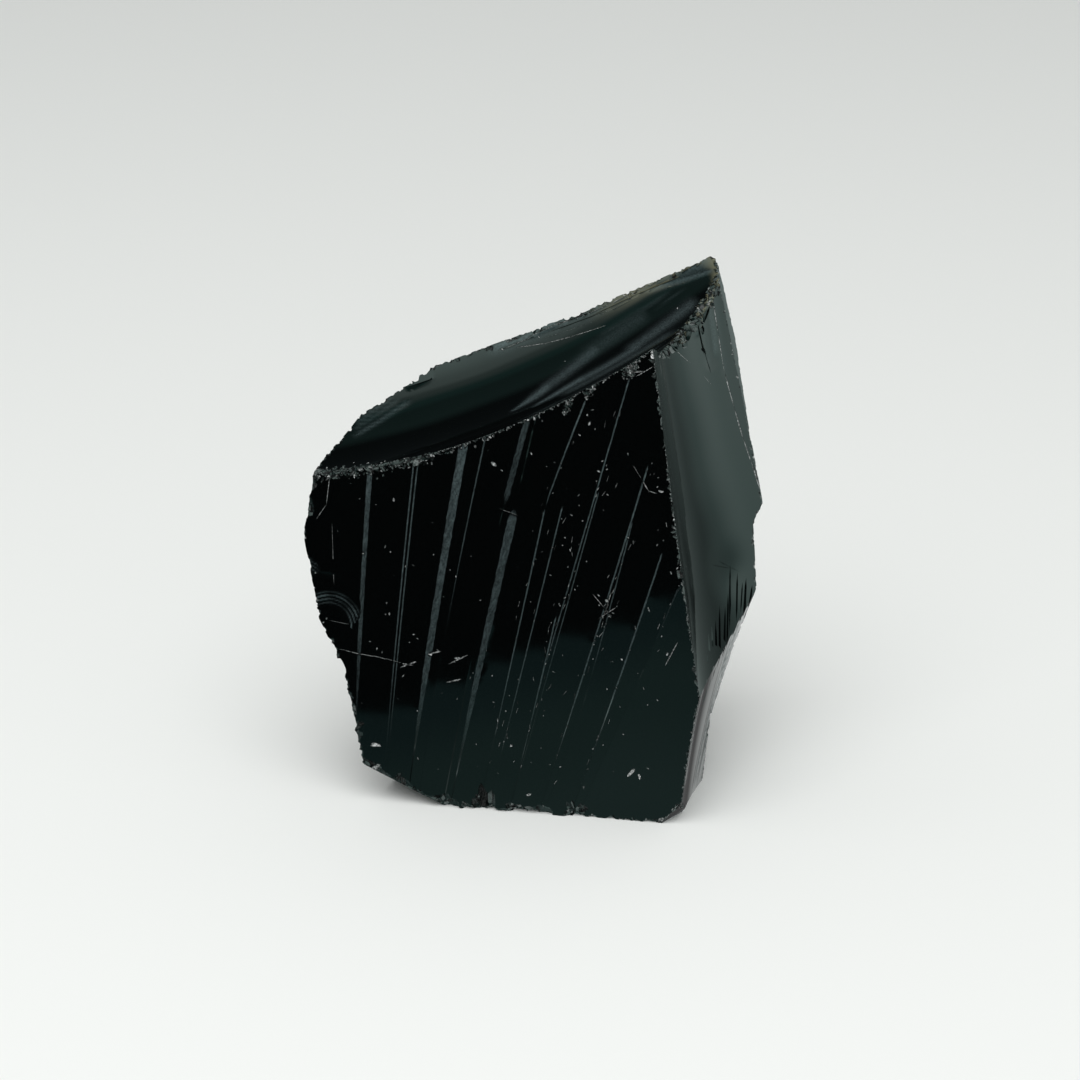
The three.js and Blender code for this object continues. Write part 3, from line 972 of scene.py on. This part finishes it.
def broken_obsidian(settings):
    """Black volcanic glass, as broken.

    Clear breaks have a wet shine over black. Hackles and ripples are misty, because the glass there is
    finely stepped. Bruised spots are powdered glass, so they look grey to white. Near the peak thin glass
    is smoky, and the light that gets through it is painted into its colour as a lighter smoky olive.
    """
    material = new_material("black obsidian glass, broken")
    tree = material.node_tree
    place = add_node(tree, "ShaderNodeTexCoord").outputs["Object"]
    frost = add_node(tree, "ShaderNodeAttribute", {"attribute_name": "frost"}).outputs["Fac"]
    crush = add_node(tree, "ShaderNodeAttribute", {"attribute_name": "crush"}).outputs["Fac"]
    thin = add_node(tree, "ShaderNodeAttribute", {"attribute_name": "thin"}).outputs["Fac"]
    # Powder grain, about 0.2 mm, breaks up the misty and the crushed glass.
    grain = add_node(tree, "ShaderNodeTexNoise", None, {
        "Vector": place, "Scale": 1 / (0.2 * MM), "Detail": 4.0,
    }).outputs["Fac"]
    misty = add_node(tree, "ShaderNodeMapRange", None, {
        "Value": grain, "From Min": 0.35, "From Max": 0.65, "To Min": 0.45, "To Max": 1.0,
    }).outputs["Result"]
    misty = add_node(tree, "ShaderNodeMath", {"operation": "MULTIPLY"}, {0: misty, 1: frost}).outputs[0]
    powdery = add_node(tree, "ShaderNodeMapRange", None, {
        "Value": grain, "From Min": 0.38, "From Max": 0.60, "To Min": 0.1, "To Max": 1.0,
    }).outputs["Result"]
    powdery = add_node(tree, "ShaderNodeMath", {"operation": "MULTIPLY"}, {0: powdery, 1: crush}).outputs[0]
    # Painted light: thin glass near the peak gets a lighter smoky olive, standing in for light shining
    # through it.
    colour = add_node(tree, "ShaderNodeMix", {"data_type": "RGBA"}, {
        "Factor": thin, "A": linear(settings.glass_colour), "B": linear(settings.smoky_painted_light_colour),
    }).outputs["Result"]
    colour = add_node(tree, "ShaderNodeMix", {"data_type": "RGBA"}, {
        "Factor": misty, "A": colour, "B": linear(settings.frost_colour),
    }).outputs["Result"]
    colour = add_node(tree, "ShaderNodeMix", {"data_type": "RGBA"}, {
        "Factor": powdery, "A": colour, "B": linear(settings.crush_colour),
    }).outputs["Result"]
    # Faint swirls of cooled lava, about 4 mm wide, only change the shine a little.
    swirl = add_node(tree, "ShaderNodeTexNoise", None, {
        "Vector": place, "Scale": 1 / (4 * MM), "Detail": 3.0, "Distortion": 1.2,
    }).outputs["Fac"]
    shine = add_node(tree, "ShaderNodeMapRange", None, {
        "Value": swirl, "From Min": 0.3, "From Max": 0.7,
        "To Min": settings.roughness * 0.7, "To Max": settings.roughness * 1.3,
    }).outputs["Result"]
    shine = add_node(tree, "ShaderNodeMath", {"operation": "MULTIPLY_ADD"}, {
        0: misty, 1: 0.33, 2: shine,
    }).outputs[0]
    shine = add_node(tree, "ShaderNodeMath", {"operation": "MULTIPLY_ADD", "use_clamp": True}, {
        0: powdery, 1: 0.5, 2: shine,
    }).outputs[0]
    bumps = add_node(tree, "ShaderNodeMath", {"operation": "MULTIPLY"}, {0: grain, 1: powdery}).outputs[0]
    bumps = add_node(tree, "ShaderNodeBump", None, {
        "Height": bumps, "Strength": 0.8, "Distance": 0.12 * MM,
    }).outputs["Normal"]
    shader = add_node(tree, "ShaderNodeBsdfPrincipled", None, {
        "Base Color": colour,
        "Roughness": shine,
        "IOR": 1.49,
        "Specular Tint": (0.76, 1.0, 0.96, 1.0),
        "Normal": bumps,
    })
    add_node(tree, "ShaderNodeOutputMaterial", None, {"Surface": shader.outputs["BSDF"]})
    return material


# ---- Settings -----------------------------------------------------------------------------------

class StoneSettings(bpy.types.PropertyGroup):
    """Sizes and colours of the stone."""

    grid_step: FloatProperty(
        name="Grid step", description="Spacing of the mesh on the curved breaks, in mm",
        default=0.75, min=0.2, max=3.0,
    )
    wear: FloatProperty(
        name="Edge wear", description="How thickly the edges are nicked, against the real stone",
        default=1.0, min=0.0, max=3.0, subtype="FACTOR",
    )
    seed: IntProperty(
        name="Seed", description="Picks the places of the small nicks", default=11,
    )
    glass_colour: StringProperty(
        name="Glass", description="Colour of thick glass, as sRGB hex", default="#030404",
    )
    frost_colour: StringProperty(
        name="Misty glass", description="Colour of hackles and ripples, as sRGB hex", default="#525f61",
    )
    crush_colour: StringProperty(
        name="Crushed glass", description="Colour of powdered glass, as sRGB hex", default="#e2e4e4",
    )
    # Painted light: the smoky colour of light shining through thin glass, put on as plain colour.
    smoky_painted_light_colour: StringProperty(
        name="Thin edge", description="Smoky colour where light gets through, as sRGB hex",
        default="#6f6e5a",
    )
    roughness: FloatProperty(
        name="Roughness", description="Roughness of the clean break", default=0.045, min=0, max=1,
        subtype="FACTOR",
    )


class StageSettings(bpy.types.PropertyGroup):
    """Sizes and strengths of the stage."""

    camera_distance: FloatProperty(
        name="Camera distance", description="From the camera to the middle of the stone",
        default=0.42, min=0.1, unit="LENGTH",
    )
    camera_height: FloatProperty(
        name="Camera angle", description="How far above level the camera looks down from",
        default=math.radians(20), subtype="ANGLE",
    )
    floor_colour: StringProperty(
        name="Floor", description="Colour of the floor, as sRGB hex", default="#e9ebe9",
    )
    light_strength: FloatProperty(
        name="Overhead light", description="Power of the soft light above, in watts", default=4.6,
    )


# ---- Operators ----------------------------------------------------------------------------------

class OBSIDIAN_OT_chunk(bpy.types.Operator):
    """Break the chunk out of a block, mark it, and put it in the frame's place"""

    bl_idname = "obsidian.chunk"
    bl_label = "Break the chunk"
    bl_options = {"REGISTER", "UNDO"}

    def execute(self, context):
        settings = context.scene.obsidian_stone
        rough = break_stone(settings)
        extents = break_extents(rough)
        shift = frame_shift(rough)
        remove_object(rough)
        stone = break_stone(settings, extents)
        dice = random.Random(settings.seed)
        skin = skin_of(stone)
        nicks = face_nicks(skin, dice) + edge_nicks(edge_pieces(stone), settings.wear, skin, dice)
        knock_off(stone, nicks)
        into_place(stone, shift)
        stone.data.materials.clear()
        stone.data.materials.append(broken_obsidian(settings))
        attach(stone, "root")
        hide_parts(NODE)
        return {"FINISHED"}


def frame_shift(rough):
    """How far the roughed-out stone, as big as the node, lies from the node (mm)."""
    low, high = (np.array(corner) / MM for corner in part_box(NODE))
    corners = mesh_arrays(rough.data)[0]
    shift = (low + high) / 2 - (corners.min(0) + corners.max(0)) / 2
    shift[2] = low[2] - corners[:, 2].min()
    return shift


# Faces that meet at more than this are separate breaks, with a crisp edge between them (degrees).
CRISP_EDGE = 16
# The glass is smoky, with painted light shining through it, only where it is thinner than this,
# and this near the peak (mm).
SMOKY_THICKNESS = 4.5
SMOKY_REACH = 17.0


def into_place(stone, shift):
    """Brings the stone from the bench to the frame: shifted, in metres, with its foot on the ground."""
    mesh = stone.data
    corners = (mesh_arrays(mesh)[0] + shift) * MM
    mesh.vertices.foreach_set("co", corners.ravel())
    mesh.update()
    mesh.shade_smooth()
    mesh.set_sharp_from_angle(angle=math.radians(CRISP_EDGE))
    mark_thin_edges(mesh, corners)


def mark_thin_edges(mesh, corners):
    """Stores how thin the stone is under each corner near the peak: 1 at a knife edge, where the painted
    light shining through is strongest.
    """
    tree = BVHTree.FromPolygons(
        [Vector(c) for c in corners], [tuple(p.vertices) for p in mesh.polygons],
    )
    peak = corners[corners[:, 2].argmax()]
    thin = np.zeros(len(corners), np.float32)
    near = 1 - np.linalg.norm(corners - peak, axis=1) / (SMOKY_REACH * MM)
    for number in np.nonzero(near > 0)[0]:
        vertex = mesh.vertices[int(number)]
        inward = -vertex.normal
        hit = tree.ray_cast(vertex.co + inward * 0.05 * MM, inward, SMOKY_THICKNESS * MM)
        if hit[3] is not None:
            thin[number] = (1 - hit[3] / (SMOKY_THICKNESS * MM)) * min(near[number] * 2, 1)
    mesh.attributes.new("thin", "FLOAT", "POINT").data.foreach_set("value", thin)


class OBSIDIAN_OT_stage(bpy.types.Operator):
    """Lay the pale floor, light it softly and set the camera"""

    bl_idname = "obsidian.stage"
    bl_label = "Set the stage"
    bl_options = {"REGISTER", "UNDO"}

    def execute(self, context):
        settings = context.scene.obsidian_stage
        lay_floor(settings)
        set_lights(settings)
        set_sky()
        set_camera(settings)
        context.scene.view_settings.view_transform = "Standard"
        return {"FINISHED"}


# Half the floor's side, the overhead light's width and place, and the camera's lens, film and aim above
# the middle of the stone's foot (m; lens and film in mm).
FLOOR_HALF = 4.0
OVERHEAD_WIDTH = 0.9
OVERHEAD_PLACE = (-0.06, -0.37, 0.66)
CAMERA_LENS = 116.0
CAMERA_FILM = 36.0
CAMERA_AIM = (0.00057, -0.0034, 0.031)


def lay_floor(settings):
    """A big matt white board, which the stone doesn't mirror: the room's layers stand in for it."""
    material = new_material("matt white board")
    tree = material.node_tree
    shader = add_node(tree, "ShaderNodeBsdfPrincipled", None, {
        "Base Color": linear(settings.floor_colour), "Roughness": 0.9, "Specular IOR Level": 0.2,
    })
    add_node(tree, "ShaderNodeOutputMaterial", None, {"Surface": shader.outputs["BSDF"]})
    corners = [(x * FLOOR_HALF, y * FLOOR_HALF, 0) for x, y in ((-1, -1), (1, -1), (1, 1), (-1, 1))]
    floor = flat_piece("floor", corners, material)
    floor.visible_glossy = False


def flat_piece(name, corners, material):
    """A single flat face."""
    mesh = bpy.data.meshes.new(name)
    mesh.from_pydata(corners, [], [tuple(range(len(corners)))])
    mesh.materials.append(material)
    piece = bpy.data.objects.new(name, mesh)
    bpy.context.scene.collection.objects.link(piece)
    return piece


def set_lights(settings):
    """One soft round light, above and a little in front."""
    data = bpy.data.lights.new("overhead softbox", "AREA")
    data.shape = "DISK"
    data.size = OVERHEAD_WIDTH
    data.energy = settings.light_strength
    light = bpy.data.objects.new("overhead softbox", data)
    light.location = OVERHEAD_PLACE
    light.rotation_euler = (-Vector(OVERHEAD_PLACE)).to_track_quat("-Z", "Y").to_euler()
    light.visible_glossy = False
    bpy.context.scene.collection.objects.link(light)


# What the stone mirrors, as layers laid one over another: a brightness, and how the layer comes in
# along X (right), Y (back) and Z (up) of the direction looked in, from not at all to in full.
ROOM_LAYERS = [
    # The dim board in front, below a crisp line.
    dict(tint=(0.10, 0.17, 0.18), z=(-0.083, -0.090)),
    dict(tint=(0.19, 0.29, 0.28), z=(-0.100, -0.175)),
    dict(tint=(0.27, 0.38, 0.37), z=(-0.175, -0.275)),
    # Behind: a dim wall, lighter low down.
    dict(tint=(0.020, 0.025, 0.027), y=(0.05, 0.25)),
    dict(tint=(0.25, 0.36, 0.34), y=(0.05, 0.25), z=(0.40, 0.12)),
    # To the right: a bright wall, and the board below it in shade.
    dict(tint=(0.18, 0.22, 0.21), x=(0.00, 0.14)),
    dict(tint=(0.19, 0.24, 0.23), x=(0.00, 0.14), z=(-0.30, -0.17)),
    dict(tint=(0.52, 0.66, 0.63), x=(0.00, 0.14), z=(-0.17, -0.07)),
    dict(tint=(1.25, 1.40, 1.35), x=(0.00, 0.14), z=(-0.10, -0.02)),
    dict(tint=(1.45, 1.54, 1.50), x=(0.00, 0.14), z=(-0.005, 0.035)),
    # Low at the right: the board round the stone's own shade, brighter away from the stone.
    dict(tint=(0.12, 0.12, 0.12), x=(0.05, 0.20), z=(-0.32, -0.42)),
    dict(tint=(0.75, 0.77, 0.76), x=(0.28, 0.43), z=(-0.32, -0.42)),
    dict(tint=(1.70, 1.72, 1.70), x=(0.36, 0.46), z=(-0.444, -0.470)),
    # Overhead: a softbox that fades out towards the back.
    dict(tint=(0.10, 0.17, 0.16), z=(0.45, 0.65), y=(0.50, 0.30)),
    dict(tint=(0.14, 0.28, 0.26), z=(0.45, 0.65), y=(0.10, 0.00)),
    dict(tint=(0.50, 0.55, 0.53), z=(0.45, 0.65), y=(0.00, -0.10)),
    dict(tint=(1.00, 1.03, 1.00), z=(0.45, 0.65), y=(-0.10, -0.17)),
    dict(tint=(1.75, 1.80, 1.75), z=(0.45, 0.65), y=(-0.17, -0.40)),
]


# What the room is before the layers, and the plain light that matt surfaces see.
DARK_ROOM = (0.004, 0.005, 0.006, 1.0)
PLAIN_LIGHT = (0.565, 0.57, 0.565, 1.0)


def set_sky():
    """A soft room: plain light for matt surfaces, and light and dark walls for the stone to mirror."""
    world = bpy.data.worlds.new("studio room")
    bpy.context.scene.world = world
    world.use_nodes = True
    tree = world.node_tree
    tree.nodes.clear()
    way = add_node(tree, "ShaderNodeTexCoord").outputs["Generated"]
    parts = add_node(tree, "ShaderNodeSeparateXYZ", None, {"Vector": way}).outputs
    shine = DARK_ROOM
    for layer in ROOM_LAYERS:
        share = 1.0
        for axis in "xyz":
            if axis in layer:
                none, full = layer[axis]
                step = add_node(tree, "ShaderNodeMapRange", {"interpolation_type": "SMOOTHSTEP"}, {
                    "Value": parts[axis.upper()], "From Min": none, "From Max": full,
                }).outputs["Result"]
                share = add_node(tree, "ShaderNodeMath", {"operation": "MULTIPLY"}, {
                    0: step, 1: share,
                }).outputs[0]
        shine = add_node(tree, "ShaderNodeMix", {"data_type": "RGBA"}, {
            "Factor": share, "A": shine, "B": layer["tint"] + (1.0,),
        }).outputs["Result"]
    rays = add_node(tree, "ShaderNodeLightPath").outputs
    plain = add_node(tree, "ShaderNodeBackground", None, {
        "Color": PLAIN_LIGHT,
    }).outputs["Background"]
    gloss = add_node(tree, "ShaderNodeBackground", None, {"Color": shine}).outputs["Background"]
    mixed = add_node(tree, "ShaderNodeMixShader", None, {
        "Fac": rays["Is Glossy Ray"], 1: plain, 2: gloss,
    }).outputs["Shader"]
    add_node(tree, "ShaderNodeOutputWorld", None, {"Surface": mixed})


def set_camera(settings):
    """The camera, square to the front and looking a little down."""
    low, high = (Vector(corner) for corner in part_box(NODE))
    middle = Vector(((low.x + high.x) / 2, (low.y + high.y) / 2, low.z))
    aim = middle + Vector(CAMERA_AIM)
    back = Vector((0, -math.cos(settings.camera_height), math.sin(settings.camera_height)))
    data = bpy.data.cameras.new("camera")
    data.lens = CAMERA_LENS
    data.sensor_width = CAMERA_FILM
    data.clip_start = 0.01
    camera = bpy.data.objects.new("camera", data)
    camera.location = aim + back * settings.camera_distance
    camera.rotation_euler = (-back).to_track_quat("-Z", "Y").to_euler()
    bpy.context.scene.collection.objects.link(camera)
    bpy.context.scene.camera = camera


# ---- Panel and registration ---------------------------------------------------------------------

class OBSIDIAN_PT_panel(bpy.types.Panel):
    """Lists the chunk and its stage"""

    bl_label = "Obsidian chunk"
    bl_space_type = "VIEW_3D"
    bl_region_type = "UI"
    bl_category = "Obsidian"

    def draw(self, context):
        for title, settings, operator in (
            ("Stone", context.scene.obsidian_stone, OBSIDIAN_OT_chunk),
            ("Stage", context.scene.obsidian_stage, OBSIDIAN_OT_stage),
        ):
            box = self.layout.box()
            box.label(text=title)
            for name in settings.bl_rna.properties.keys():
                if name not in ("rna_type", "name"):
                    box.prop(settings, name)
            box.operator(operator.bl_idname)


CLASSES = (StoneSettings, StageSettings, OBSIDIAN_OT_chunk, OBSIDIAN_OT_stage, OBSIDIAN_PT_panel)


def register():
    for item in CLASSES:
        bpy.utils.register_class(item)
    bpy.types.Scene.obsidian_stone = PointerProperty(type=StoneSettings)
    bpy.types.Scene.obsidian_stage = PointerProperty(type=StageSettings)


def unregister():
    del bpy.types.Scene.obsidian_stage
    del bpy.types.Scene.obsidian_stone
    for item in reversed(CLASSES):
        bpy.utils.unregister_class(item)


def main():
    register()
    bpy.ops.obsidian.chunk()
    bpy.ops.obsidian.stage()


if __name__ == "__main__":
    main()
